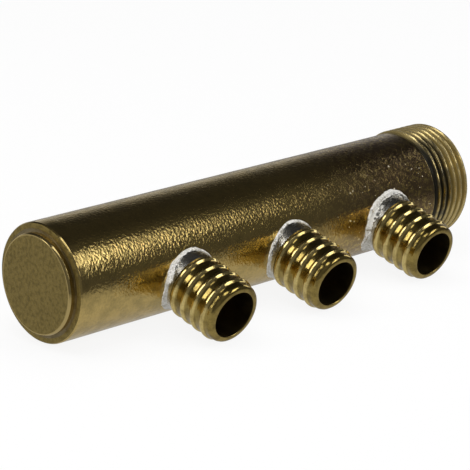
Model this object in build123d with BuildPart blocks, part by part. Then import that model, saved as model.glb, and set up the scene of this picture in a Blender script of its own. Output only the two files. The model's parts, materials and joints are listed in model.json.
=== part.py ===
from build123d import *
from math import asin, atan2, degrees, hypot
import os

# A soldered brass distribution bar for underfloor heating, with three ribbed outlets.
#
# Frame: the origin is the centre of the inlet's end face, on the barrel's axis. +X points
# out of the inlet and +Z up. The bar lies as it does on a bench, on its barrel and on the
# ends of its outlets, so the outlets point towards -Y and dip below the horizontal.

os.makedirs("parts", exist_ok=True)

# ---------------------------------------------------------------- driving dimensions, mm

# Barrel: 32 mm tube with a G 1 pipe thread rolled on its open end.
barrel_length = 148.5
inlet_to_outlet = 33.2         # end of the inlet to the middle of the nearest outlet
outlet_spacings = (39.6, 38.0)
barrel_radius = 16.0
barrel_wall = 3.0
barrel_edge = 0.5              # bevel on the tube's outer edge at the plugged end

# The thread's turns stand as one cylinder at its major diameter.
thread_radius = 16.62
thread_length = 15.9
thread_lead = 0.6              # bevel that starts a nut on the thread
thread_runout = 1.2            # cone from the last turn down to the tube

# End plug: a turned disc that seats on a step in the tube's mouth and is soldered there.
seat_wall = 2.45               # tube left outside the step
seat_depth = 3.6
plug_proud = 1.75
plug_edge = 0.7                # bevel of the plug's outer edge
plug_bevel = 0.8               # bevel of the tube's mouth, which the solder ring fills

# Outlets: three spigots, each with four ribs that grip a hose.
neck_radius = 8.4
outlet_wall = 1.9              # from the neck in to the bore
outlet_mouth = 0.15            # bevel inside the tip
tip_bevel = 0.8                # bevel outside the tip, which starts a hose
rib_count = 4
rib_pitch = 3.78
rib_height = 0.6
rib_land = 0.4
rib_flank = 0.75
barrel_to_first_rib = 2.86     # barrel's surface to the first rib's middle
last_rib_to_tip = 3.3          # last rib's middle to the tip

# Solder round each outlet.
solder_skin = 0.2              # thickness of the tinned collar on the neck
solder_leg = 1.5               # how far the solder spreads on the barrel and up the collar
solder_gap = 0.25              # from the collar's end to the first rib
solder_share = 0.9             # the most of the collar that the leg may take

capillary_gap = 0.1            # radial clearance of every soldered joint
ring_clearance = 0.03          # radial clearance between the plug and the solder ring on it

# ---------------------------------------------------------------- sizes that follow

bore_radius = barrel_radius - barrel_wall
plugged_end = -barrel_length
outlet_places = [
    -(inlet_to_outlet + sum(outlet_spacings[:number]))
    for number in reversed(range(len(outlet_spacings) + 1))
]
seat_radius = barrel_radius - seat_wall
seat_face = plugged_end + seat_depth
plug_radius = seat_radius - capillary_gap
ring_radius = plug_radius + ring_clearance

outlet_bore_radius = neck_radius - outlet_wall
rib_radius = neck_radius + rib_height
rib_middles = [barrel_radius + barrel_to_first_rib + number * rib_pitch for number in range(rib_count)]
first_rib_foot = rib_middles[0] - rib_land / 2 - rib_flank
outlet_reach = rib_middles[-1] + last_rib_to_tip   # barrel's axis to the outlet's tip
collar_length = first_rib_foot - solder_gap        # barrel's axis to the end of the solder


def dip_to_bench(reach, radius):
    """The dip at which a ring of the outlet touches the surface that the thread lies on."""
    return degrees(asin(thread_radius / hypot(reach, radius)) - atan2(radius, reach))


# The outlets dip until their last rib or their tip touches the bench.
outlet_dip = min(
    dip_to_bench(rib_middles[-1] + rib_land / 2, rib_radius),
    dip_to_bench(outlet_reach - tip_bevel, neck_radius),
)


def outlet_plane(place):
    """A plane on the barrel's axis that faces along the outlet, with its X along the barrel."""
    level = Plane(origin=(place, 0, 0), x_dir=(1, 0, 0), z_dir=(0, -1, 0))
    return level.rotated((outlet_dip, 0, 0))


def profile_plane(place):
    """A plane through the outlet's axis: its X is the outlet's radius and its Y the outlet's reach."""
    seat = outlet_plane(place)
    return Plane(origin=seat.origin, x_dir=seat.x_dir, z_dir=-seat.y_dir)


# ---------------------------------------------------------------- barrel

with BuildPart() as barrel:
    with BuildSketch(Plane.XZ) as wall:
        with BuildLine():
            Polyline(
                (0, bore_radius),
                (0, thread_radius - thread_lead),
                (-thread_lead, thread_radius),
                (-thread_length + thread_runout, thread_radius),
                (-thread_length, barrel_radius),
                (plugged_end + barrel_edge, barrel_radius),
                (plugged_end, barrel_radius - barrel_edge),
                (plugged_end, seat_radius + plug_bevel),
                (plugged_end + plug_bevel, seat_radius),
                (seat_face, seat_radius),
                (seat_face, bore_radius),
                close=True,
            )
        make_face()
    revolve(axis=Axis.X)
    for place in outlet_places:
        with BuildSketch(outlet_plane(place)):
            Circle(neck_radius + capillary_gap)
        extrude(amount=2 * barrel_radius, mode=Mode.SUBTRACT)

barrel.part.label = "barrel"
export_step(barrel.part, "parts/barrel.step")

# ---------------------------------------------------------------- end plug and its solder

with BuildPart() as end_plug:
    with BuildSketch(Plane.YZ.offset(seat_face)):
        Circle(plug_radius)
    extrude(amount=-(seat_depth + plug_proud))
    chamfer(end_plug.edges().group_by(Axis.X)[0], length=plug_edge)

end_plug.part.label = "end_plug"
export_step(end_plug.part, "parts/end_plug.step")

with BuildPart() as plug_solder:
    with BuildSketch(Plane.XZ):
        with BuildLine():
            Polyline(
                (plugged_end, ring_radius),
                (plugged_end, seat_radius + plug_bevel),
                (plugged_end + plug_bevel, seat_radius),
                (plugged_end + plug_bevel, ring_radius),
                close=True,
            )
        make_face()
    revolve(axis=Axis.X)

plug_solder.part.label = "plug_solder"
export_step(plug_solder.part, "parts/plug_solder.step")

# ---------------------------------------------------------------- outlets


def rib_outline(middle):
    """The four corners of one rib, from the barrel's side to the tip's side."""
    return [
        (neck_radius, middle - rib_land / 2 - rib_flank),
        (rib_radius, middle - rib_land / 2),
        (rib_radius, middle + rib_land / 2),
        (neck_radius, middle + rib_land / 2 + rib_flank),
    ]


def make_outlet(place):
    """A ribbed spigot, coped to the barrel's bore at its inner end."""
    with BuildPart() as spigot:
        with BuildSketch(profile_plane(place)):
            with BuildLine():
                corners = [(outlet_bore_radius, 0), (neck_radius, 0)]
                for middle in rib_middles:
                    corners += rib_outline(middle)
                corners += [
                    (neck_radius, outlet_reach - tip_bevel),
                    (neck_radius - tip_bevel, outlet_reach),
                    (outlet_bore_radius + outlet_mouth, outlet_reach),
                    (outlet_bore_radius, outlet_reach - outlet_mouth),
                ]
                Polyline(*corners, close=True)
            make_face()
        revolve(axis=Axis(outlet_plane(place).origin, outlet_plane(place).z_dir))
        with BuildSketch(Plane.YZ.offset(place)):
            Circle(bore_radius)
        extrude(amount=2 * neck_radius, both=True, mode=Mode.SUBTRACT)
    return spigot.part


def make_outlet_solder(place):
    """Solder between an outlet and the barrel: a sloping seam on the saddle and a thin collar."""
    with BuildPart() as solder:
        with BuildSketch(Plane.YZ.offset(place)):
            Circle(barrel_radius)
        extrude(amount=2 * neck_radius, both=True)
        with BuildSketch(outlet_plane(place)):
            Circle(neck_radius + solder_skin)
        extrude(amount=collar_length)
        saddle = solder.edges().filter_by(GeomType.BSPLINE)
        chamfer(saddle, length=min(solder_leg, solder_share * (collar_length - barrel_radius)))
        with BuildSketch(Plane.YZ.offset(place)):
            Circle(barrel_radius)
        extrude(amount=4 * neck_radius, both=True, mode=Mode.SUBTRACT)
        with BuildSketch(outlet_plane(place)):
            Circle(neck_radius)
        extrude(amount=2 * outlet_reach, mode=Mode.SUBTRACT)
    return solder.part


for number, place in enumerate(outlet_places, start=1):
    outlet = make_outlet(place)
    outlet.label = f"outlet_{number}"
    export_step(outlet, f"parts/outlet_{number}.step")
    outlet_solder = make_outlet_solder(place)
    outlet_solder.label = f"outlet_solder_{number}"
    export_step(outlet_solder, f"parts/outlet_solder_{number}.step")

print(f"outlets at {[round(place, 2) for place in outlet_places]}, dip {outlet_dip:.2f} degrees")
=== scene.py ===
# %% [markdown]
# # A soldered brass manifold for underfloor heating
#
# A manifold shares warm water between the loops of a heated floor. This one is a piece of thick brass
# tube. One end carries a rolled pipe thread, the other is closed with a soldered disc, and three short
# spigots with hose ribs stand in a row along one side.
#
# The construction model already holds every piece at its real size. This lesson dresses it: each piece
# gets a finer mesh of its own where the eye looks for one, and a brass or solder that is worked out with
# nodes. We begin by loading the construction, because every position below is read from it.

# %% Load the construction
import json
from collections import namedtuple
from math import ceil, cos, hypot, pi, radians, sin, tan

import bpy
import numpy as np
from mathutils import Matrix, Vector, noise


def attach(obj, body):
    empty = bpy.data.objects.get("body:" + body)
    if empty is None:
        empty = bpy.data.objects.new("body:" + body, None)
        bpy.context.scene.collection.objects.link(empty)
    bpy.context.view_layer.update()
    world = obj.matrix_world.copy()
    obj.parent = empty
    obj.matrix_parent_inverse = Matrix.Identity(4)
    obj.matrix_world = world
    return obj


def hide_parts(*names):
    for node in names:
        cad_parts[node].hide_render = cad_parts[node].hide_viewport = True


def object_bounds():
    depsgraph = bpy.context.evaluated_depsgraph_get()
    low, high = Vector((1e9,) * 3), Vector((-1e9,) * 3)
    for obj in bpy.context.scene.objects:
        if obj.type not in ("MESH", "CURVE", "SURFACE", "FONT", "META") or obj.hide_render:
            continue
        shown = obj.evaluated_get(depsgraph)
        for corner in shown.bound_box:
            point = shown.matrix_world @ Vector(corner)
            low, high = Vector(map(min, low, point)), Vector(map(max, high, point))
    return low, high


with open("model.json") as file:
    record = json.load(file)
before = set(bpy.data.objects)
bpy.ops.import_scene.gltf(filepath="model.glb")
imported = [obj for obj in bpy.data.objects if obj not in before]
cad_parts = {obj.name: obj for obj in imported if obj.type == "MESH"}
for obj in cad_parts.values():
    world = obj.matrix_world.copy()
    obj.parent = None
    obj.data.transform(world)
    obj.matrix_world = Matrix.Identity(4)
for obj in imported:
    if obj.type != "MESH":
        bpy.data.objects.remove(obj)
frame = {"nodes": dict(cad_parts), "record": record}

mm = 0.001
cad_low, cad_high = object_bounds()
cad_sides = [round(side / mm) for side in cad_high - cad_low]
print("construction:", len(frame["nodes"]), "nodes,", cad_sides, "mm")

# %% [markdown]
# ## Reading sizes from the construction
#
# Numbers typed twice drift apart, so the sizes are measured where they already exist. The record lists
# the mounts, the places where something is fastened: they give the bores, the ribbed length of a spigot
# and the direction in which it points. What the mounts leave out is measured on the meshes.

# %% Measure the tube
mounts = {mount["name"]: mount for mount in frame["record"]["mounts"]}


def points_of(piece):
    """The vertices of an object, as rows of x, y, z."""
    return np.array([vertex.co for vertex in piece.data.vertices])


def corners(node):
    """The vertices of a construction node."""
    return points_of(frame["nodes"][node])


def distances(points):
    """How far points lie from the tube's axis."""
    return np.hypot(points[:, 1], points[:, 2])


def size(mount, name):
    """A size that the record gives for a mount, in metres."""
    return mounts[mount]["dims"][name] * mm


barrel_corners = corners("barrel")
barrel_distances = distances(barrel_corners)
plugged_end = barrel_corners[:, 0].min()
thread_radius = barrel_distances.max()
tube_radius = barrel_distances[barrel_corners[:, 0] < plugged_end / 2].max()
thread_end = barrel_corners[barrel_distances > (thread_radius + tube_radius) / 2][:, 0].min()
bore_radius = size("inlet_bore", "r_mm")
seat_face = -size("inlet_bore", "length_mm")
print(f"tube {2 * tube_radius / mm:.1f} mm across and {-plugged_end / mm:.1f} mm long")

# %% Measure the spigots and the plug
outlet_names = sorted(
    name for name in frame["nodes"] if name.startswith("outlet_") and "solder" not in name
)
outlet_places = [mounts[name + "_ribs"]["pos_m"][0] for name in outlet_names]
spigot_axis = Vector(mounts["outlet_1_ribs"]["axis"]).normalized()
top_of_spigot = Vector((1, 0, 0)).cross(spigot_axis).normalized()
top_of_spigot = top_of_spigot * (1 if top_of_spigot.z > 0 else -1)

spigot_reach = (corners("outlet_1") @ np.array(spigot_axis)).max()
spigot_bore = size("outlet_1_bore", "r_mm")
rib_radius = size("outlet_1_ribs", "r_mm")
solder_corners = corners("outlet_solder_1") - np.array((outlet_places[0], 0, 0))
neck_radius = np.hypot(solder_corners[:, 0], solder_corners @ np.array(top_of_spigot)).min()
ribs_length = size("outlet_1_ribs", "length_mm")
ribs_middle = Vector(mounts["outlet_1_ribs"]["pos_m"]).dot(spigot_axis)

plug_corners = corners("end_plug")
plug_radius = distances(plug_corners).max()
plug_face = plug_corners[:, 0].min()
print(f"spigots reach {spigot_reach / mm:.1f} mm from the tube's axis")
print(f"necks are {2 * neck_radius / mm:.1f} mm across")

# %% [markdown]
# ## A small kit for turned pieces
#
# Almost every piece here comes off a lathe. A turned piece is a list of rings, and each ring is a circle
# of points, so a mesh is a table of points with one face between each four neighbours. Blender has a
# Screw modifier that would spin a profile too, but our rings have to bend: a spigot's inner end follows
# the tube that it is soldered into, and a thread's radius changes as it goes round.

# %% Build meshes from rings
turn_steps = 192
edge_angle = 35


def turn_angles(steps=turn_steps):
    """The angles of a ring's points, in radians."""
    return np.arange(steps) * 2 * pi / steps


def ring_faces(rings, steps, closed):
    """Quads between neighbouring rings. A closed section joins the last ring to the first."""
    first = np.arange(rings if closed else rings - 1)[:, None]
    second = (first + 1) % rings
    here = np.arange(steps)[None, :]
    there = (here + 1) % steps
    quads = [first * steps + here, first * steps + there, second * steps + there, second * steps + here]
    return np.stack(quads, axis=-1).reshape(-1, 4)


def new_object(name, data):
    """An object that is part of the scene."""
    added = bpy.data.objects.new(name, data)
    bpy.context.scene.collection.objects.link(added)
    return added


def shade(mesh, smooth_below=edge_angle):
    """Smooth shading, but for edges where faces meet at a larger angle than this, in degrees."""
    mesh.shade_smooth()
    mesh.set_sharp_from_angle(angle=radians(smooth_below))


def new_piece(name, table, closed=True, smooth_below=edge_angle):
    """A mesh object from a table of rings, each with as many points. Open ends are capped flat."""
    rings, steps = table.shape[:2]
    faces = ring_faces(rings, steps, closed).tolist()
    if not closed:
        faces.append(list(range(steps))[::-1])
        faces.append(list(range((rings - 1) * steps, rings * steps)))
    mesh = bpy.data.meshes.new(name)
    mesh.from_pydata(table.reshape(-1, 3).tolist(), [], faces)
    shade(mesh, smooth_below)
    mesh.update()
    return new_object(name, mesh)


print("ring kit ready:", turn_steps, "steps a turn")

# %% [markdown]
# A real edge is never perfectly sharp, and it is the small rounding that catches the light. Outlines are
# written as plain corners with a radius for each, and two helpers turn them into arcs and short steps. A
# third places noise on the surface, because hand work and drawing leave nothing quite even. The next cell
# puts the points round the tube's axis or round a spigot's.

# %% Outline helpers
def rounded(points, corner_radii, steps=4):
    """An open outline whose corners are replaced by short arcs. A radius of 0 keeps a corner sharp."""
    outline = [points[0]]
    for index in range(1, len(points) - 1):
        corner, radius = Vector(points[index]), corner_radii[index]
        if radius == 0:
            outline.append(points[index])
            continue
        back = (Vector(points[index - 1]) - corner).normalized()
        ahead = (Vector(points[index + 1]) - corner).normalized()
        setback = radius / tan(back.angle(ahead) / 2)
        start, end = corner + back * setback, corner + ahead * setback
        for step in range(steps + 1):
            share = step / steps
            point = start * (1 - share) ** 2 + corner * 2 * share * (1 - share) + end * share ** 2
            outline.append(tuple(point))
    outline.append(points[-1])
    return outline


def with_steps(outline, longest):
    """The same outline with points added, so that no step is longer than the longest."""
    stepped = [outline[0]]
    for start, end in zip(outline, outline[1:]):
        count = max(1, ceil(hypot(end[0] - start[0], end[1] - start[1]) / longest))
        for step in range(1, count + 1):
            share = step / count
            stepped.append(tuple(first + (second - first) * share for first, second in zip(start, end)))
    return stepped


def unevenness(points, grain, seed=0.0):
    """Noise between about -1 and 1 at each point of a table. Its bumps are about a grain across."""
    spots = points.reshape(-1, 3) / grain + seed
    values = np.array([noise.noise(Vector(spot)) for spot in spots])
    return values.reshape(points.shape[:-1])


print("outline helpers ready")

# %% Rings round the tube and round a spigot
def around_tube(stations, radii, angles):
    """Points round the tube's axis. Radii is a table with a row for each station."""
    x = np.broadcast_to(np.asarray(stations)[:, None], radii.shape)
    return np.stack([x, radii * np.cos(angles), radii * np.sin(angles)], axis=-1)


def around_spigot(place, reaches, radii, angles):
    """Points round a spigot's axis: angle 0 faces the plugged end and a quarter turn is the top."""
    sideways = np.cos(angles)[:, None] * np.array((-1, 0, 0))
    upwards = np.sin(angles)[:, None] * np.array(top_of_spigot)
    outwards = np.asarray(radii)[..., None] * (sideways + upwards)
    return np.array((place, 0, 0)) + np.asarray(reaches)[..., None] * np.array(spigot_axis) + outwards


def even_rings(outline):
    """Stations and a table of radii for rings that are the same all round."""
    stations = [station for station, _ in outline]
    return stations, np.array([[radius] for _, radius in outline]) * np.ones(turn_steps)


print("spigots point", [round(side, 3) for side in spigot_axis])

# %% [markdown]
# ## The barrel: tube and rolled thread
#
# The open end has a British pipe thread of 1 inch: 11 turns an inch, flanks at 55 degrees, and rounded
# crests and roots. A helix could be swept along a spiral curve, but the sweep has to be joined to the
# tube afterwards. A height field is simpler. Every point of the tube already has a place along the axis
# and an angle, and those two numbers say where it is within the turn, so the radius follows from a
# formula. The thread fades out towards the tube and is bevelled at the end, where a nut starts.
#
# The thread is worn: a wide arc lies over each crest, and the roots are a little shallower than new ones.

# %% Thread profile
inch = 25.4 * mm
turns_per_inch = 11
thread_pitch = inch / turns_per_inch
flank_angle = radians(27.5)
thread_rounding = 0.137329 * thread_pitch
thread_depth = 0.640327 * thread_pitch
lead_bevel = 0.6 * mm
runout_length = 2.2 * mm
crest_wear = 0.13 * mm
worn_round = 1.0 * mm


def below_crest(phase):
    """How far the thread lies under its crest. Phase is 0 or 1 on a crest and 0.5 in a root."""
    across = (0.5 - np.abs(phase - 0.5)) * thread_pitch
    arc_end = thread_rounding * cos(flank_angle)
    crest = thread_rounding - np.sqrt(np.maximum(thread_rounding ** 2 - across ** 2, 0))
    from_root = thread_pitch / 2 - across
    root_arc = np.sqrt(np.maximum(thread_rounding ** 2 - from_root ** 2, 0))
    root = thread_depth - thread_rounding + root_arc
    flank = thread_rounding * (1 - sin(flank_angle)) + (across - arc_end) / tan(flank_angle)
    fresh = np.where(across < arc_end, crest, np.where(from_root < arc_end, root, flank))
    return np.maximum(fresh - crest_wear, across ** 2 / (2 * worn_round))


def thread_radii(stations, angles):
    """The radius of the threaded end, for a table of stations by angles."""
    x = np.asarray(stations)[:, None]
    phase = (x / thread_pitch + angles / (2 * pi)) % 1
    surface = thread_radius - below_crest(phase)
    fade = np.clip((x - thread_end) / runout_length, 0, 1)
    fade = fade * fade * (3 - 2 * fade)
    surface = tube_radius + (surface - tube_radius) * fade
    return np.minimum(surface, thread_radius - lead_bevel + np.clip(-x, 0, lead_bevel))


print(f"{-thread_end / thread_pitch:.1f} turns of {thread_pitch / mm:.2f} mm")

# %% [markdown]
# The tube isn't a perfect cylinder either. Drawing and tinning leave shallow waves that the eye only sees
# in the reflections, so the table of radii carries a few hundredths of a millimetre of slow noise. At the
# plugged end the outer edge has a slim bevel with soft corners, and the bore opens into the seat of the
# plug. A gap as thin as a hair is left round the plug and the spigots, for the solder to creep into.

# %% Barrel mesh
tube_step = 0.6 * mm
thread_step = 0.11 * mm
wave_height = 0.03 * mm
long_wave, short_wave = 9 * mm, 4 * mm
short_wave_share = 0.4
calm_length = 3 * mm
end_bevel_length, end_bevel_drop = 0.6 * mm, 0.3 * mm
end_bevel_rounds = [0, 0.15 * mm, 0.12 * mm, 0]
solder_gap = 0.1 * mm
seat_radius = plug_radius + solder_gap
mouth_bevel = 0.8 * mm

angles = turn_angles()
thread_stations = np.linspace(0, thread_end, ceil(-thread_end / thread_step))[:-1]
plain_count = ceil((thread_end - plugged_end) / tube_step)
plain_stations = np.linspace(thread_end, plugged_end + end_bevel_length, plain_count)
smooth_tube = around_tube(plain_stations, np.full((plain_count, turn_steps), tube_radius), angles)
waves = unevenness(smooth_tube, long_wave) + short_wave_share * unevenness(smooth_tube, short_wave)
calm = np.clip((plain_stations - plain_stations[-1]) / calm_length, 0, 1)[:, None]
plain_radii = tube_radius - wave_height * (1 - calm * waves)

end_radius = tube_radius - wave_height
edge_outline = rounded([
    (plugged_end + end_bevel_length, end_radius),
    (plugged_end + 0.9 * end_bevel_length, end_radius),
    (plugged_end, end_radius - end_bevel_drop),
    (plugged_end, tube_radius - 2 * end_bevel_drop),
], end_bevel_rounds, steps=3)[1:]
inside_outline = [
    (plugged_end, seat_radius + mouth_bevel),
    (plugged_end + mouth_bevel, seat_radius),
    (seat_face, seat_radius),
    (seat_face, bore_radius),
    (0, bore_radius),
]
barrel_piece = new_piece("tube", np.concatenate([
    around_tube(thread_stations, thread_radii(thread_stations, angles), angles),
    around_tube(plain_stations, plain_radii, angles),
    around_tube(*even_rings(edge_outline + inside_outline), angles),
]))
print("barrel:", len(barrel_piece.data.polygons), "faces")

# %% [markdown]
# The three spigots pass through holes in the tube's wall. A Boolean modifier cuts them with three plain
# drills, and its result is kept as the mesh, so that what leaves Blender is one clean wall.

# %% Cross-drilled holes
drill_radius = neck_radius + solder_gap
drill_steps = 96
drill_overrun = 3 * mm


def keep_result(piece):
    """Replaces a piece's mesh with what its modifiers make of it."""
    finished = piece.evaluated_get(bpy.context.evaluated_depsgraph_get())
    mesh = bpy.data.meshes.new_from_object(finished)
    piece.modifiers.clear()
    piece.data = mesh


for place in outlet_places:
    ends = np.array([[bore_radius / 2], [tube_radius + drill_overrun]]) * np.ones(drill_steps)
    shank = around_spigot(place, ends, np.full((2, drill_steps), drill_radius), turn_angles(drill_steps))
    drill = new_piece("drill", shank, closed=False)
    hole = barrel_piece.modifiers.new("hole", "BOOLEAN")
    hole.operation = "DIFFERENCE"
    hole.solver = "EXACT"
    hole.object = drill
    keep_result(barrel_piece)
    bpy.data.objects.remove(drill)
shade(barrel_piece.data)
print("barrel with holes:", len(barrel_piece.data.polygons), "faces")

# %% [markdown]
# The brass is made darker in the roots of the thread. To let it darken there, every vertex gets a
# number of its own, a mesh attribute, that is 0 on a crest and 1 in a root. A material reads it by name.
# A second attribute is 1 on the outside of the wall and 0 in the bore.

# %% Mark the thread's roots
def write_mask(piece, name, values):
    """Stores one number for each vertex under a name."""
    mask = piece.data.attributes.new(name, "FLOAT", "POINT")
    mask.data.foreach_set("value", np.asarray(values, dtype=np.float32).ravel())


barrel_points = points_of(barrel_piece)
from_axis = distances(barrel_points)
depths = (thread_radius - from_axis) / thread_depth
on_thread = barrel_points[:, 0] > thread_end
middle_of_wall = (bore_radius + tube_radius) / 2
write_mask(barrel_piece, "root", np.clip(depths, 0, 1) * on_thread)
write_mask(barrel_piece, "outside", from_axis > middle_of_wall)
print("roots marked on", int(on_thread.sum()), "vertices")

# %% [markdown]
# ## Spigots with hose ribs
#
# Each spigot is turned from bar, with four narrow ribs that grip a hose. Their flanks are straight and
# all corners are slightly rounded, the feet more than the tops. The outline goes up the outside and comes
# back down the bore. The inner end is coped: its reach changes with the angle, so that it lies flush with
# the tube's bore. The spigots are far from even, so a few hundredths of a millimetre of noise go on the
# outside.

# %% Spigot outline
rib_count = 4
rib_land = 0.4 * mm
rib_flank = 0.75 * mm
rib_pitch = (ribs_length - rib_land) / (rib_count - 1)
rib_middles = [ribs_middle + (number - (rib_count - 1) / 2) * rib_pitch for number in range(rib_count)]
first_foot = rib_middles[0] - rib_land / 2 - rib_flank
rib_lean = 0.12 * mm
foot_round = 1.1 * mm
crest_round = 0.14 * mm
nose_round = 1.5 * mm
mouth_bevel_inside = 0.15 * mm
mouth_round = 0.06 * mm
hidden_neck = 1 * mm
outline_step = 0.5 * mm

outline_points = [(first_foot - hidden_neck, neck_radius)]
outline_radii = [0]
for middle in rib_middles:
    outline_points += [
        (middle - rib_land / 2 - rib_flank, neck_radius),
        (middle - rib_land / 2 - rib_lean, rib_radius),
        (middle + rib_land / 2, rib_radius),
        (middle + rib_land / 2 + rib_flank, neck_radius),
    ]
    outline_radii += [foot_round, crest_round, crest_round, foot_round]
outline_points += [
    (spigot_reach, neck_radius),
    (spigot_reach, spigot_bore + mouth_bevel_inside),
    (spigot_reach - mouth_bevel_inside, spigot_bore),
    (first_foot - hidden_neck, spigot_bore),
]
outline_radii += [nose_round, mouth_round, mouth_round, 0]
spigot_outline = with_steps(rounded(outline_points, outline_radii, steps=5), outline_step)
print("spigot outline:", len(spigot_outline), "points")

# %% Spigot meshes
wobble_height = 0.05 * mm
wobble_length = 3 * mm
bore_margin = 0.02 * mm
spigot_edge_angle = 40


def reach_to_cylinder(cylinder_radius, radii, angles):
    """How far along a spigot a line beside its axis meets a cylinder round the tube's axis."""
    return np.sqrt(cylinder_radius ** 2 - (radii * np.sin(angles)) ** 2)


def make_spigot(name, place):
    """A ribbed spigot whose inner end follows the tube's bore."""
    angles = turn_angles()
    stations, radii = even_rings(spigot_outline)
    reaches = np.array(stations)[:, None] * np.ones(turn_steps)
    wobble = unevenness(around_spigot(place, reaches, radii, angles), wobble_length)
    outside = (radii > (spigot_bore + neck_radius) / 2) * 1.0
    radii = radii - outside * wobble_height * (0.5 + 0.5 * wobble)
    coped_radii = np.array([[spigot_bore], [neck_radius]]) * np.ones(turn_steps)
    coped_reaches = reach_to_cylinder(bore_radius, coped_radii, angles)
    radii = np.vstack([coped_radii, radii])
    reaches = np.vstack([coped_reaches, reaches])
    piece = new_piece(name, around_spigot(place, reaches, radii, angles), smooth_below=spigot_edge_angle)
    write_mask(piece, "root", np.clip((rib_radius - radii) / (rib_radius - neck_radius), 0, 1))
    write_mask(piece, "bore", radii < spigot_bore + bore_margin)
    return piece


spigots = [make_spigot(f"spigot_{number}", place) for number, place in enumerate(outlet_places, start=1)]
print("spigots:", [len(piece.data.polygons) for piece in spigots], "faces")

# %% [markdown]
# ## Solder at the spigots
#
# Soft solder is fed in by hand. It wets the tube and the neck, draws up into a hollow fillet between
# them, and freezes with ridges, lumps and a ragged edge. Higher up it leaves only a thin, smooth coat of
# tin on the neck. No two seams are alike, and a fillet modifier would make them all the same, so each
# seam is a ring-shaped height field: for each angle round the spigot a hollow curve runs from the toe on
# the tube to the neck and then up the neck.
#
# Solder that cools last, out on the tube, turns white and frosty, while the tinned neck stays bright. So
# each vertex also gets a number for its frost, which the finish reads.

# %% Solder settings
seam_steps = 288
fillet_rows = 26
collar_rows = 9
seam_gap = 0.25 * mm
seam_skin = 0.12 * mm
seam_sink = 0.12 * mm
narrowest_skirt = 0.35 * mm

Swelling = namedtuple("Swelling", "angle spread height")
Lump = namedtuple("Lump", "angle spread level height")
Seam = namedtuple("Seam", "seed skirt swellings bead lumps frost frost_swellings rough")


def swell(angles, swellings):
    """The sum of smooth swellings round a seam. Angles are in degrees and heights in millimetres."""
    total = np.zeros(len(angles))
    for swelling in swellings:
        away = (angles - radians(swelling.angle) + pi) % (2 * pi) - pi
        total += np.exp(-((away / radians(swelling.spread)) ** 2)) * swelling.height * mm
    return total


seam_settings = [
    Seam(
        seed=1.7, skirt=0.6, rough=0.9, bead=0.26, frost=0.05,
        swellings=[Swelling(32, 26, 0.7), Swelling(-50, 40, 0.6)],
        lumps=[Lump(48, 12, 0.3, 0.4), Lump(20, 9, 0.25, 0.35), Lump(75, 8, 0.35, 0.2)],
        frost_swellings=[Swelling(30, 24, 1.9), Swelling(85, 30, 0.9), Swelling(140, 30, 0.5)],
    ),
    Seam(
        seed=7.9, skirt=0.6, rough=0.5, bead=0.14, frost=0.1,
        swellings=[Swelling(20, 20, 0.5)],
        lumps=[Lump(96, 6, 0.4, 0.4), Lump(25, 12, 0.3, 0.25)],
        frost_swellings=[Swelling(30, 20, 0.9), Swelling(90, 30, 0.8)],
    ),
    Seam(
        seed=13.4, skirt=1.1, rough=1.1, bead=0.34, frost=0.3,
        swellings=[Swelling(30, 30, 1.2), Swelling(-40, 35, 1.0), Swelling(92, 22, 0.3)],
        lumps=[Lump(40, 14, 0.3, 0.5), Lump(80, 10, 0.35, 0.3)]
        + [Lump(-10, 12, 0.3, 0.4), Lump(120, 12, 0.4, 0.3)],
        frost_swellings=[Swelling(25, 34, 2.2), Swelling(90, 35, 1.2)],
    ),
]
print("seams planned:", len(seam_settings))

# %% Seam outline
tear_grain, fine_tear_grain = 2.7 * mm, 1.0 * mm
tear_depth, fine_tear_share = 0.22, 0.6
most_climb = 0.6
toe_sink = 0.02 * mm


def seam_lines(seam, angles):
    """Radius and reach of each ring of a seam before it is made uneven, and the radius of its toe."""
    rim = np.stack([neck_radius * np.cos(angles), neck_radius * np.sin(angles), 0 * angles], axis=-1)
    torn = unevenness(rim, tear_grain, seam.seed)
    torn = torn + fine_tear_share * unevenness(rim, fine_tear_grain, seam.seed + 5)
    skirt = (seam.skirt * mm + swell(angles, seam.swellings)) * (1 + tear_depth * seam.rough * torn)
    toe = neck_radius + np.maximum(skirt, narrowest_skirt)
    collar = np.full(len(angles), neck_radius + seam_skin)
    top = first_foot - seam_gap
    collar_foot = reach_to_cylinder(tube_radius, collar, angles)
    climb = np.minimum(toe - neck_radius, most_climb * (top - collar_foot))
    start = np.stack([toe, reach_to_cylinder(tube_radius, toe, angles) - toe_sink])
    corner = np.stack([collar, collar_foot])
    end = np.stack([collar, collar_foot + climb])
    upper_rim = np.stack([collar, np.full(len(angles), top)])
    lines = []
    for share in np.linspace(0, 1, fillet_rows):
        lines.append(start * (1 - share) ** 2 + corner * 2 * share * (1 - share) + end * share ** 2)
    for share in np.linspace(0, 1, collar_rows)[1:]:
        lines.append(end * (1 - share) + upper_rim * share)
    return np.array(lines), toe


print("seams have", fillet_rows + collar_rows - 1, "rings outside")

# %% [markdown]
# Three sizes of noise make the solder uneven. A bead runs round near the toe, and each seam has a few
# lumps of its own. All of it fades at the toe and on the thin coat of the collar.

# %% Seam bumps and frost
bump_grains = (1.9 * mm, 0.8 * mm, 0.4 * mm)
bump_heights = (0.12 * mm, 0.08 * mm, 0.06 * mm)
bump_seeds = (0, 3, 9)
bead_place, bead_width = 0.6 * mm, 0.5 * mm
lump_reach = 0.22
push_share = 0.7
toe_fade = 0.12
narrowest_frost, frost_fade = 0.2 * mm, 0.3 * mm


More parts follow.
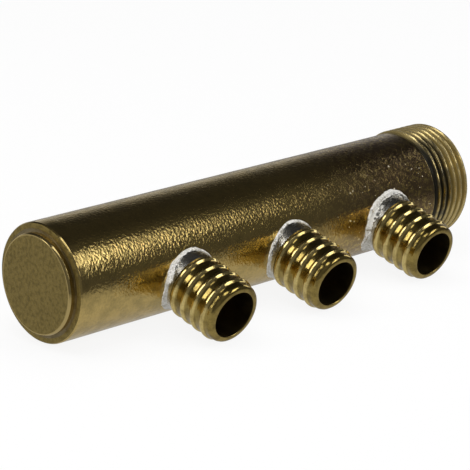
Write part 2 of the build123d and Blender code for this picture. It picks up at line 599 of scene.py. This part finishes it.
def seam_push(seam, angles, shares, along, bumps):
    """How far noise, bead and lumps push the surface outwards."""
    push = sum(height * bump for height, bump in zip(bump_heights, bumps)) * seam.rough
    push += seam.bead * mm * np.exp(-(((along - bead_place) / bead_width) ** 2))
    for lump in seam.lumps:
        around = swell(angles, [Swelling(lump.angle, lump.spread, lump.height)])
        push += around * np.exp(-(((shares - lump.level) / lump_reach) ** 2))
    window = np.clip(shares / toe_fade, 0, 1) * np.clip((1.5 - shares) / 0.5, 0.12, 1)
    return push * window * push_share


def seam_frost(seam, angles, along, bumps):
    """Frost between 0 and 1, from the toe up to a torn edge, with thin patches."""
    wavy, lumpy, grainy = bumps
    edge = np.maximum(seam.frost * mm + swell(angles, seam.frost_swellings), narrowest_frost)
    edge = edge * (1 + 0.45 * lumpy + 0.25 * grainy)
    patches = np.clip(0.8 + 0.9 * wavy + 0.5 * grainy, 0.15, 1)
    return np.clip((edge - along) / frost_fade + 0.5, 0, 1) * patches


print("solder bumps are", [round(grain / mm, 1) for grain in bump_grains], "mm wide")

# %% Seam meshes
collar_share = 1.6
toe_lap = 0.05 * mm
seam_edge_angle = 70


def make_seam(name, place, seam):
    """Solder between a spigot and the tube, with its frost stored on the vertices."""
    angles = turn_angles(seam_steps)
    lines, toe = seam_lines(seam, angles)
    steps = np.hypot(*np.moveaxis(np.diff(lines, axis=0), 1, 0))
    along = np.vstack([np.zeros(seam_steps), np.cumsum(steps, axis=0)])
    on_collar = np.linspace(1, collar_share, collar_rows)[1:]
    shares = np.concatenate([np.linspace(0, 1, fillet_rows), on_collar])[:, None]
    surface = around_spigot(place, lines[:, 1], lines[:, 0], angles)
    bumps = [unevenness(surface, grain, seam.seed + seed) for grain, seed in zip(bump_grains, bump_seeds)]
    push = seam_push(seam, angles, shares, along, bumps)

    inner = np.full((1, seam_steps), neck_radius - seam_sink)
    top = np.full((1, seam_steps), lines[-1, 1, 0])
    bottom = reach_to_cylinder(tube_radius, inner, angles) - seam_sink
    under_toe = reach_to_cylinder(tube_radius, toe, angles)[None] - seam_sink
    piece = new_piece(name, np.concatenate([
        around_spigot(place, lines[:, 1] + push, lines[:, 0] + push, angles),
        around_spigot(place, top, inner, angles),
        around_spigot(place, bottom, inner, angles),
        around_spigot(place, under_toe, toe[None] - toe_lap, angles),
    ]), smooth_below=seam_edge_angle)
    hidden_rings = np.zeros((3, seam_steps))
    write_mask(piece, "frost", np.vstack([seam_frost(seam, angles, along, bumps), hidden_rings]))
    return piece


seams = [
    make_seam(f"seam_{number}", place, seam)
    for number, (place, seam) in enumerate(zip(outlet_places, seam_settings), start=1)
]
print("seams:", [len(piece.data.polygons) for piece in seams], "faces")

# %% [markdown]
# ## End plug and its ring of solder
#
# The plug is a turned disc that stands a little proud of the tube. A slim bevel with soft corners runs
# round its face, and it is what catches the light, so a mask marks it for the finish. The ring of solder
# round the plug fills the bevel in the tube's mouth, and sags a little between the two pieces of brass.

# %% Plug and ring
plug_edge_length = 0.6 * mm
plug_edge_drop = 0.36 * mm
plug_edge_rounds = [0, 0.25 * mm, 0.15 * mm, 0]
plug_edge_band = 1.3 * plug_edge_drop
plug_face_radius = plug_radius - 2 * plug_edge_drop
face_rings = 30
smallest_ring = 0.02
ring_sag = 0.12 * mm
ring_lap = 0.02 * mm
ring_low_share = 0.4

plug_outline = [(seat_face, smallest_ring * mm)] + rounded([
    (seat_face, plug_radius),
    (plug_face + plug_edge_length, plug_radius),
    (plug_face, plug_radius - plug_edge_drop),
    (plug_face, plug_face_radius),
], plug_edge_rounds, steps=4)
for share in np.linspace(1, smallest_ring, face_rings)[1:]:
    plug_outline.append((plug_face, share * plug_face_radius))
plug_piece = new_piece("plug", around_tube(*even_rings(plug_outline), turn_angles()), closed=False)
write_mask(plug_piece, "edge", distances(points_of(plug_piece)) > plug_radius - plug_edge_band)

ring_outline = [
    (plugged_end, plug_radius - ring_lap),
    (plugged_end + ring_sag, seat_radius + ring_low_share * mouth_bevel),
    (plugged_end, seat_radius + mouth_bevel),
    (plugged_end + mouth_bevel, seat_radius),
    (plugged_end + mouth_bevel, plug_radius - ring_lap),
]
plug_ring = new_piece("plug_ring", around_tube(*even_rings(ring_outline), turn_angles()))
print("plug:", len(plug_piece.data.polygons), "faces, and ring:", len(plug_ring.data.polygons))

# %% [markdown]
# ## Shared effects as node groups
#
# Brass is a mirror with colour, so its look comes from how its surface tilts, how rough it is and how
# tarnished. Those effects return in every finish below, each time with other values. A node group holds
# one effect with named inputs and outputs. It puts out only masks and heights that change over the
# surface, and the shader stays in the material.

# %% Node helpers
def add_node(tree, kind, inputs=None, **settings):
    """A node with its settings. An input is a value or a socket to link."""
    node = tree.nodes.new("ShaderNode" + kind)
    for name, value in settings.items():
        setattr(node, name, value)
    for name, value in (inputs or {}).items():
        if isinstance(value, bpy.types.NodeSocket):
            tree.links.new(value, node.inputs[name])
        else:
            node.inputs[name].default_value = value
    return node


def maths(tree, operation, first, second, clamp=False):
    """One step of arithmetic on two values or sockets."""
    numbers = {0: first, 1: second}
    return add_node(tree, "Math", numbers, operation=operation, use_clamp=clamp).outputs[0]


def times(tree, first, second):
    return maths(tree, "MULTIPLY", first, second)


def plus(tree, first, second):
    return maths(tree, "ADD", first, second)


def ease(tree, value, low, high, new_low=0.0, new_high=1.0):
    """Maps low..high to new_low..new_high with soft ends."""
    given = {"Value": value, "From Min": low, "From Max": high, "To Min": new_low, "To Max": new_high}
    return add_node(tree, "MapRange", given, interpolation_type="SMOOTHSTEP").outputs["Result"]


def blend_colours(tree, share, first, second):
    """A colour between two. Each is a socket or red, green and blue."""
    ends = [end if isinstance(end, bpy.types.NodeSocket) else (*end, 1) for end in (first, second)]
    return add_node(tree, "Mix", {0: share, 6: ends[0], 7: ends[1]}, data_type="RGBA").outputs[2]


def place_in_mm(tree):
    """Where a point lies on its piece, in millimetres."""
    spot = add_node(tree, "TexCoord").outputs["Object"]
    return add_node(tree, "VectorMath", {0: spot, "Scale": 1 / mm}, operation="SCALE").outputs[0]


def noise_at(tree, spots, **inputs):
    """Noise between 0 and 1. On places in millimetres, a Scale of 1 gives bumps of about 1 mm."""
    return add_node(tree, "TexNoise", {"Vector": spots, **inputs}).outputs["Fac"]


def apart(tree, vector):
    """The X, Y and Z of a vector, as sockets by name."""
    return add_node(tree, "SeparateXYZ", {0: vector}).outputs


print("node helpers ready")

# %% [markdown]
# Two more helpers make a group and place it in a material.

# %% Group helpers
def start_group(name, inputs, outputs):
    """An empty node group. Inputs are (name, kind, default) and outputs (name, kind)."""
    group = bpy.data.node_groups.new(name, "ShaderNodeTree")
    for label, kind, default in inputs:
        socket = group.interface.new_socket(name=label, in_out="INPUT", socket_type="NodeSocket" + kind)
        socket.default_value = default
    for label, kind in outputs:
        group.interface.new_socket(name=label, in_out="OUTPUT", socket_type="NodeSocket" + kind)
    return group, group.nodes.new("NodeGroupInput").outputs, group.nodes.new("NodeGroupOutput").inputs


def place_group(tree, group, **values):
    """A group in a material. An underscore in a value's name stands for a space."""
    node = add_node(tree, "Group", node_tree=group)
    for name, value in values.items():
        node.inputs[name.replace("_", " ")].default_value = value
    return node.outputs


print("group helpers ready")

# %% [markdown]
# ### Hammered skin
#
# The tube's skin is covered with tiny flat dimples, longer round the tube than along it. Stretched noise
# makes them. Squeezing the noise along X makes every dimple run round the tube, with no seam anywhere,
# because the stretch acts on space and not on an unrolled sheet.

# %% Hammered skin group
dimple_roughness = 0.45
times_finer = 3.1
hammered, given, made = start_group(
    "hammered skin",
    [("Scale", "Float", 0.75), ("Along", "Float", 2.0), ("Fine", "Float", 0.1)],
    [("Height", "Float")],
)
squeeze = add_node(hammered, "CombineXYZ", {"X": given["Along"], "Y": 1.0, "Z": 1.0}).outputs[0]
both_vectors = {0: place_in_mm(hammered), 1: squeeze}
squeezed = add_node(hammered, "VectorMath", both_vectors, operation="MULTIPLY").outputs[0]
dimples = noise_at(hammered, squeezed, Scale=given["Scale"], Detail=1.0, Roughness=dimple_roughness)
fine_scale = times(hammered, given["Scale"], times_finer)
fine = noise_at(hammered, squeezed, Scale=fine_scale, Detail=1.0)
hammered.links.new(plus(hammered, dimples, times(hammered, fine, given["Fine"])), made["Height"])
print("group:", hammered.name)

# %% [markdown]
# ### Tarnish
#
# Handling and soldering heat leave clouds of olive and brown on brass. Two sizes of noise are laid over
# each other: clouds of a few millimetres, and a grain well under one.

# %% Tarnish group
cloud_share, grain_share = 0.65, 0.35
tarnish, given, made = start_group(
    "tarnish",
    [("Cloud Size", "Float", 5.0), ("Grain Size", "Float", 0.4), ("Amount", "Float", 0.5)],
    [("Mask", "Float"), ("Grain", "Float")],
)
in_mm = place_in_mm(tarnish)
cloud_scale = maths(tarnish, "DIVIDE", 1.0, given["Cloud Size"])
grain_scale = maths(tarnish, "DIVIDE", 1.0, given["Grain Size"])
cloud_mask = ease(tarnish, noise_at(tarnish, in_mm, Scale=cloud_scale, Detail=4.0), 0.38, 0.68)
grain_mask = ease(tarnish, noise_at(tarnish, in_mm, Scale=grain_scale, Detail=3.0), 0.35, 0.7)
both = plus(tarnish, times(tarnish, cloud_mask, cloud_share), times(tarnish, grain_mask, grain_share))
tarnish.links.new(maths(tarnish, "MULTIPLY", both, given["Amount"], clamp=True), made["Mask"])
tarnish.links.new(grain_mask, made["Grain"])
print("group:", tarnish.name)

# %% [markdown]
# ### Turning marks
#
# A lathe tool leaves fine grooves that run round a spigot. They depend only on how far along the
# spigot's axis a point lies, so the position is projected on that axis and fed to a one-dimensional noise.

# %% Turning marks group
turning, given, made = start_group(
    "turning marks",
    [("Direction", "Vector", tuple(spigot_axis)), ("Fineness", "Float", 9.0)],
    [("Height", "Float")],
)
both_vectors = {0: place_in_mm(turning), 1: given["Direction"]}
along_spigot = add_node(turning, "VectorMath", both_vectors, operation="DOT_PRODUCT")
grooves = add_node(
    turning, "TexNoise",
    {"W": along_spigot.outputs["Value"], "Scale": given["Fineness"], "Detail": 2.0},
    noise_dimensions="1D",
)
turning.links.new(grooves.outputs["Fac"], made["Height"])
print("group:", turning.name)

# %% [markdown]
# ## Finishes
#
# Every brass finish is a metal: a Principled shader with Metallic at or near 1, whose base colour is the
# colour of its reflection. All the brass is the same alloy, and what differs is the polish, the tarnish
# and the skin. One helper starts a material, and another closes it once its looks are worked out.

# %% Start and finish a metal
def empty_tree(owner):
    """The node tree of a material or a world, with nothing in it."""
    owner.use_nodes = True
    owner.node_tree.nodes.clear()
    return owner.node_tree


def start_metal(name):
    material = bpy.data.materials.new(name)
    return material, empty_tree(material)


def finish_metal(material, height, depth, **looks):
    """Adds the shader. Depth is how high a height of 1 stands, and looks are values or sockets."""
    tree = material.node_tree
    normal = add_node(tree, "Bump", {"Height": height, "Distance": depth}).outputs[0]
    inputs = {name.replace("_", " "): value for name, value in looks.items()}
    shader = add_node(tree, "BsdfPrincipled", {"Metallic": 1.0, "Normal": normal, **inputs})
    add_node(tree, "OutputMaterial", {"Surface": shader.outputs["BSDF"]})
    print("finish:", material.name)


def read_mask(tree, name):
    return add_node(tree, "Attribute", attribute_name=name).outputs["Fac"]


print("metals can be mixed")

# %% [markdown]
# The tube's dimples fade out over the last millimetres before the plug, where a file smoothed the edge.
# The torch left the half towards the thread duller, with brown spots of scale. A few pale flecks on the
# outside near the spigots, not metal, are painted glints.

# %% Tube brass
filed_from, filed_length = 1.0, 4.0
heat_start, heat_end = -75.0, -30.0
glint_from, glint_full = -9.0, -12.0
skin_depth = 0.09 * mm
tube_brass, tree = start_metal("tube brass")
skin = place_group(tree, hammered, Scale=1.2, Along=1.15, Fine=0.35)
stain = place_group(tree, tarnish, Cloud_Size=4.0, Grain_Size=0.5, Amount=0.8)
scale_spots = place_group(tree, tarnish, Cloud_Size=1.3, Grain_Size=0.5, Amount=1.0)
in_mm = place_in_mm(tree)
spot = apart(tree, in_mm)
heated = ease(tree, spot["X"], heat_start, heat_end)

scorched = times(tree, heated, ease(tree, scale_spots["Mask"], 0.0, 0.45))
colour = blend_colours(tree, stain["Mask"], (0.72, 0.53, 0.19), (0.42, 0.32, 0.12))
colour = blend_colours(tree, scorched, colour, (0.32, 0.22, 0.11))
# Pale non-metal flecks on the outside near the spigots: painted glints.
glint_zone = times(tree, heated, ease(tree, spot["Y"], glint_from, glint_full))
glint_zone = times(tree, glint_zone, read_mask(tree, "outside"))
glint_noise = noise_at(tree, in_mm, Scale=0.9, Detail=2.0)
painted_glints = times(tree, glint_zone, ease(tree, glint_noise, 0.70, 0.73))
colour = blend_colours(tree, painted_glints, colour, (0.78, 0.68, 0.50))
clean_roughness = ease(tree, stain["Mask"], 0.0, 0.7, 0.07, 0.18)

filed_end = plugged_end / mm + filed_from
dimpled = ease(tree, spot["X"], filed_end, filed_end + filed_length, 0.3, 1.0)
dimpled = times(tree, dimpled, ease(tree, heated, 0.0, 1.0, 1.0, 0.6))
scaly = times(tree, scale_spots["Grain"], times(tree, heated, 0.25))
finish_metal(
    tube_brass, plus(tree, times(tree, skin["Height"], dimpled), scaly), skin_depth,
    Base_Color=colour,
    Metallic=maths(tree, "SUBTRACT", 1.0, painted_glints),
    Roughness=plus(tree, clean_roughness, times(tree, heated, 0.06)),
)

# %% [markdown]
# The thread's roots are brown. On the turns next to the spigots the torch left soot in them, and patches
# of it on the crests, most of all on the side that the spigots stand on.

# %% Thread brass
soot_start, soot_full = -5.5, -9.5
far_side, spigot_side = -1.0, -11.0
thread_brass, tree = start_metal("thread brass")
stain = place_group(tree, tarnish, Cloud_Size=3.0, Grain_Size=0.3, Amount=0.7)
root = ease(tree, read_mask(tree, "root"), 0.06, 0.42)
spot = apart(tree, place_in_mm(tree))
near_spigot = ease(tree, spot["Y"], far_side, spigot_side, 0.25, 1.0)
scorched = times(tree, ease(tree, spot["X"], soot_start, soot_full), near_spigot)
root_colour = blend_colours(tree, scorched, (0.36, 0.27, 0.09), (0.07, 0.065, 0.05))
crest_colour = blend_colours(tree, stain["Mask"], (0.72, 0.56, 0.24), (0.52, 0.41, 0.18))
sooty = times(tree, scorched, ease(tree, stain["Mask"], 0.1, 0.6))
crest_colour = blend_colours(tree, sooty, crest_colour, (0.22, 0.19, 0.12))
finish_metal(
    thread_brass, stain["Grain"], 0.008 * mm,
    Base_Color=blend_colours(tree, root, crest_colour, root_colour),
    Metallic=ease(tree, scorched, 0.0, 1.0, 0.8, 1.0),
    Roughness=ease(tree, root, 0.0, 1.0, 0.14, 0.4),
)

# %% [markdown]
# The spigots were handled more than the tube. Their ribs are bright on the crests and brown at the feet,
# and no polish ever reached their bores.

# %% Spigot brass
groove_share = 0.15
bore_roughness = 0.25
spigot_brass, tree = start_metal("spigot brass")
marks = place_group(tree, turning, Fineness=8.0)
skin = place_group(tree, hammered, Scale=1.1, Along=1.0, Fine=0.4)
stain = place_group(tree, tarnish, Cloud_Size=2.5, Grain_Size=0.35, Amount=0.8)
root = ease(tree, read_mask(tree, "root"), 0.5, 1.0)
bore = read_mask(tree, "bore")
crest_colour = blend_colours(tree, stain["Mask"], (0.95, 0.75, 0.30), (0.38, 0.28, 0.09))
root_colour = blend_colours(tree, stain["Mask"], (0.50, 0.37, 0.11), (0.15, 0.105, 0.03))
outside_colour = blend_colours(tree, root, crest_colour, root_colour)
worn = ease(tree, stain["Mask"], 0.0, 0.7, 0.08, 0.2)
turned = plus(tree, times(tree, marks["Height"], groove_share), skin["Height"])
finish_metal(
    spigot_brass, turned, 0.03 * mm,
    Base_Color=blend_colours(tree, bore, outside_colour, (0.20, 0.15, 0.06)),
    Roughness=plus(tree, worn, times(tree, bore, bore_roughness)),
)

# %% [markdown]
# The plug's face is dull and grainy, and only its edge is polished. The tube's end was filed along with
# the plug, and shares its dull finish.

# %% Plug brass
dull, polished = 0.42, 0.12
plug_brass, tree = start_metal("plug brass")
edge = read_mask(tree, "edge")
stain = place_group(tree, tarnish, Cloud_Size=1.0, Grain_Size=0.35, Amount=1.0)
colour = blend_colours(tree, stain["Mask"], (0.35, 0.26, 0.08), (0.19, 0.14, 0.04))
finish_metal(
    plug_brass, times(tree, stain["Grain"], maths(tree, "SUBTRACT", 1.0, edge)), 0.05 * mm,
    Base_Color=blend_colours(tree, edge, colour, (0.62, 0.47, 0.19)),
    Roughness=ease(tree, edge, 0.0, 1.0, dull, polished),
)

# %% [markdown]
# Bright solder is a grey metal. Where it froze slowly its crystals scatter the light, and it looks like
# white plaster. So the frost mask takes Metallic down and the colour and roughness up. A few crystals
# stay metal, and they sparkle.

# %% Solder
crystal_share = 0.4
frost_shine = 1.0
solder, tree = start_metal("soft solder")
stain = place_group(tree, tarnish, Cloud_Size=1.6, Grain_Size=0.3, Amount=1.0)
frost = read_mask(tree, "frost")
bright_colour = blend_colours(tree, stain["Mask"], (0.86, 0.84, 0.77), (0.50, 0.47, 0.38))
frosty_colour = blend_colours(tree, stain["Mask"], (1.0, 0.98, 0.94), (0.84, 0.81, 0.72))
plain_metal = ease(tree, frost, 0.0, 0.8, 1.0, 0.1)
crystals = times(tree, ease(tree, stain["Grain"], 0.6, 0.9), crystal_share)
grit = times(tree, stain["Grain"], ease(tree, frost, 0.0, 1.0, 0.15, 1.0))
finish_metal(
    solder, grit, 0.13 * mm,
    Base_Color=blend_colours(tree, frost, bright_colour, frosty_colour),
    Metallic=maths(tree, "MAXIMUM", plain_metal, crystals),
    Roughness=ease(tree, frost, 0.0, 1.0, 0.2, 0.28),
    Specular_IOR_Level=frost_shine,
)

# %% [markdown]
# The solder round the plug is dull, and painted dark brown with a grain of stains: the brown is painted
# shade, for the groove between the plug and the tube where shade falls.

# %% Solder ring in painted shade
painted_shade_solder, tree = start_metal("painted shade solder")
stain = place_group(tree, tarnish, Cloud_Size=2.4, Grain_Size=0.4, Amount=1.0)
# Dark brown here is painted shade in the groove round the plug.
colour = blend_colours(tree, stain["Mask"], (0.30, 0.245, 0.14), (0.20, 0.155, 0.07))
finish_metal(painted_shade_solder, stain["Grain"], 0.05 * mm, Base_Color=colour, Roughness=0.4)

# %% [markdown]
# The barrel is one mesh with three finishes, so each of its faces takes one by where it lies.

# %% Dress the pieces
end_ring_depth = 0.12 * mm
barrel_piece.data.materials.clear()
for material in (tube_brass, thread_brass, plug_brass):
    barrel_piece.data.materials.append(material)
for face in barrel_piece.data.polygons:
    outside = hypot(face.center.y, face.center.z) > middle_of_wall
    if outside and face.center.x > thread_end:
        face.material_index = 1
    if face.center.x < plugged_end + end_ring_depth:
        face.material_index = 2
for piece in spigots:
    piece.data.materials.append(spigot_brass)
for piece in seams:
    piece.data.materials.append(solder)
plug_ring.data.materials.append(painted_shade_solder)
plug_piece.data.materials.append(plug_brass)
all_pieces = [barrel_piece, plug_piece, plug_ring, *spigots, *seams]
print("dressed:", [piece.name for piece in all_pieces])

# %% [markdown]
# ## Floor, room and lamps
#
# Bright metal shows its surroundings more than itself, so the surroundings are the real work. The part
# lies on a white sheet that ends just in front of it. Beyond the sheet and overhead the room is dark,
# which gives brass its deep tones, and behind the part stands a pale wall.
#
# The camera sees a white ground, because the sheet glows for it. Metal sees the sheet at less than half
# of that, and dimmer still in front of the part and beyond the thread, or the glow would fill the brass's
# dark tones. A diffuse share stays in the sheet, so the part still throws a soft shadow.

# %% Floor
sheet_front, sheet_back, sheet_side = -0.10, 1.2, 0.9
seen_white = 0.88
mirrored_white = 0.42
bright_until, dark_from = -0.02, -0.10
dim_from, dim_to, dim_share = -0.015, 0.015, 0.35
paper_white, mirrored_grey = (0.9, 0.9, 0.9), (0.12, 0.12, 0.12)
sheet_mesh = bpy.data.meshes.new("floor")
sheet_corners = [
    (-sheet_side, sheet_front), (sheet_side, sheet_front),
    (sheet_side, sheet_back), (-sheet_side, sheet_back),
]
sheet_mesh.from_pydata([(x, y, cad_low.z) for x, y in sheet_corners], [], [(0, 1, 2, 3)])
floor = new_object("floor", sheet_mesh)

floor_paint = bpy.data.materials.new("white sheet")
tree = empty_tree(floor_paint)
floor_paint.cycles.emission_sampling = "NONE"
paths = add_node(tree, "LightPath").outputs
mirrored = maths(tree, "MAXIMUM", paths["Is Glossy Ray"], paths["Is Transmission Ray"])
seen_part = times(tree, paths["Is Camera Ray"], seen_white)
spot = apart(tree, add_node(tree, "TexCoord").outputs["Object"])
near_part = ease(tree, spot["Y"], dark_from, bright_until, 0.0, mirrored_white)
near_part = times(tree, near_part, ease(tree, spot["X"], dim_to, dim_from, dim_share, 1.0))
share = maths(tree, "MAXIMUM", seen_part, times(tree, mirrored, near_part))
paper_colour = blend_colours(tree, mirrored, paper_white, mirrored_grey)
paper = add_node(tree, "BsdfDiffuse", {"Color": paper_colour}).outputs[0]
glow = add_node(tree, "Emission", {"Color": (1, 1, 1, 1), "Strength": 1.0}).outputs[0]
mixed = add_node(tree, "MixShader", {0: share, 1: paper, 2: glow}).outputs[0]
add_node(tree, "OutputMaterial", {"Surface": mixed})
sheet_mesh.materials.append(floor_paint)
print("sheet from y", sheet_front, "to", sheet_back)

# %% [markdown]
# The camera sees a white room. Metal sees a dim one, a little lighter at the left and in front, with a
# pale wall behind that fades out upwards.

# %% Room
room_dim = 0.03
left_dim = 0.09
wall_level = 0.5
front_dim = 0.045
world = bpy.data.worlds.new("studio")
bpy.context.scene.world = world
tree = empty_tree(world)
parts = apart(tree, add_node(tree, "TexCoord").outputs["Generated"])
wall_height = ease(tree, parts["Z"], 0.0, 0.5, wall_level, 0.0)
behind = ease(tree, parts["Y"], 0.0, 0.5)
left_ceiling = ease(tree, parts["X"], 0.2, -0.4, room_dim, left_dim)
in_front = ease(tree, parts["Y"], 0.0, -0.4, 0.0, front_dim)
level = plus(tree, times(tree, wall_height, behind), plus(tree, left_ceiling, in_front))
strength = maths(tree, "MAXIMUM", level, add_node(tree, "LightPath").outputs["Is Camera Ray"])
sky = add_node(tree, "Background", {"Color": (1, 1, 1, 1), "Strength": strength}).outputs[0]
add_node(tree, "OutputWorld", {"Surface": sky})
print("room at", room_dim, "and wall at", wall_level)

# %% [markdown]
# Five soft boxes draw the highlights: two in front, one of them low, and one each at the left, at the
# right and overhead. Two quiet lamps, above and in front, set the plain level for the white sheet and the
# frosty solder. They are hidden from glossy surfaces, or they would fill the dark ceiling.

# %% Soft boxes
heart = Vector((plugged_end / 2, 0, 0))
cap = Vector((plugged_end, 0, 0))
middle_spigot = Vector((outlet_places[1], 0, 0)) + spigot_axis * spigot_reach * 0.7
side_distance = 0.8


def soft_box(name, middle, aim, upright, size, brightness, in_mirrors=True):
    """A rectangular lamp that faces a point. Upright is its long side, and brightness its radiance."""
    lamp = bpy.data.lights.new(name, "AREA")
    lamp.shape = "RECTANGLE"
    lamp.size, lamp.size_y = size
    lamp.energy = brightness * pi * size[0] * size[1]
    back = (middle - aim).normalized()
    side = Vector(upright).cross(back).normalized()
    holder = new_object(name, lamp)
    holder.matrix_world = Matrix((side, back.cross(side), back)).transposed().to_4x4()
    holder.location = middle
    holder.visible_camera = False
    holder.visible_glossy = in_mirrors


to_left = Vector((-0.69, 0.445, 0.57)).normalized() * side_distance
to_right = Vector((0.93, 0.04, 0.34)).normalized() * side_distance
boxes = [
    ("front box", cap, (0.395, -0.555, 0.575), (0, 0.733, 0.68), (0.32, 0.32), 2.0),
    ("low front box", Vector(), (0.185, -0.72, 0.40), (0, 0.49, 0.87), (0.25, 0.32), 2.6),
    ("left box", middle_spigot, to_left, (0.571, -0.215, 0.791), (0.18, 0.60), 2.7),
    ("right box", middle_spigot, to_right, (0, 0, 1), (0.22, 0.32), 1.6),
    ("overhead box", heart, (-0.235, -0.22, 0.85), (0, 1, 0), (0.24, 0.50), 1.6),
    ("quiet top lamp", heart, (0, 0.1, 1.1), (0, 1, 0), (1.4, 1.4), 1.8, False),
    ("quiet front lamp", heart, (-0.7, -0.9, 0.4), (0, 0, 1), (1.0, 1.0), 2.6, False),
]
for name, aim, away, *looks in boxes:
    soft_box(name, aim + Vector(away), aim, *looks)
print("lamps:", [lamp.name for lamp in bpy.data.lights])

# %% [markdown]
# ## Camera
#
# The camera looks down on the capped end from the left front, from far away with a long lens, so that
# the tube stays almost as thick at its far end.

# %% Camera
camera_aim = Vector((-81.38, -1.93, -0.44)) * mm
camera_distance = 623.35 * mm
camera_azimuth, camera_elevation, camera_roll = radians(-44.514), radians(17.471), radians(1.116)
camera = new_object("camera", bpy.data.cameras.new("camera"))
camera.data.lens = 174.575
camera.data.clip_start, camera.data.clip_end = 0.05, 20
back = Vector((
    sin(camera_azimuth) * cos(camera_elevation),
    -cos(camera_azimuth) * cos(camera_elevation),
    sin(camera_elevation),
))
camera.location = camera_aim + back * camera_distance
camera.rotation_mode = "QUATERNION"
level_view = (-back).to_track_quat("-Z", "Y")
camera.rotation_quaternion = level_view @ Matrix.Rotation(camera_roll, 3, "Z").to_quaternion()
bpy.context.scene.camera = camera
bpy.context.scene.view_settings.view_transform = "Standard"
print("camera at", [round(side / mm) for side in camera.location], "mm")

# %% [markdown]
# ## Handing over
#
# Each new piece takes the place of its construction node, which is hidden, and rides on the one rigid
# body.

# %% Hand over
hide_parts("barrel")
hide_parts("end_plug")
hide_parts("plug_solder")
for number, (spigot, seam) in enumerate(zip(spigots, seams), start=1):
    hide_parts(f"outlet_{number}")
    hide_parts(f"outlet_solder_{number}")
for piece in all_pieces:
    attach(piece, "root")
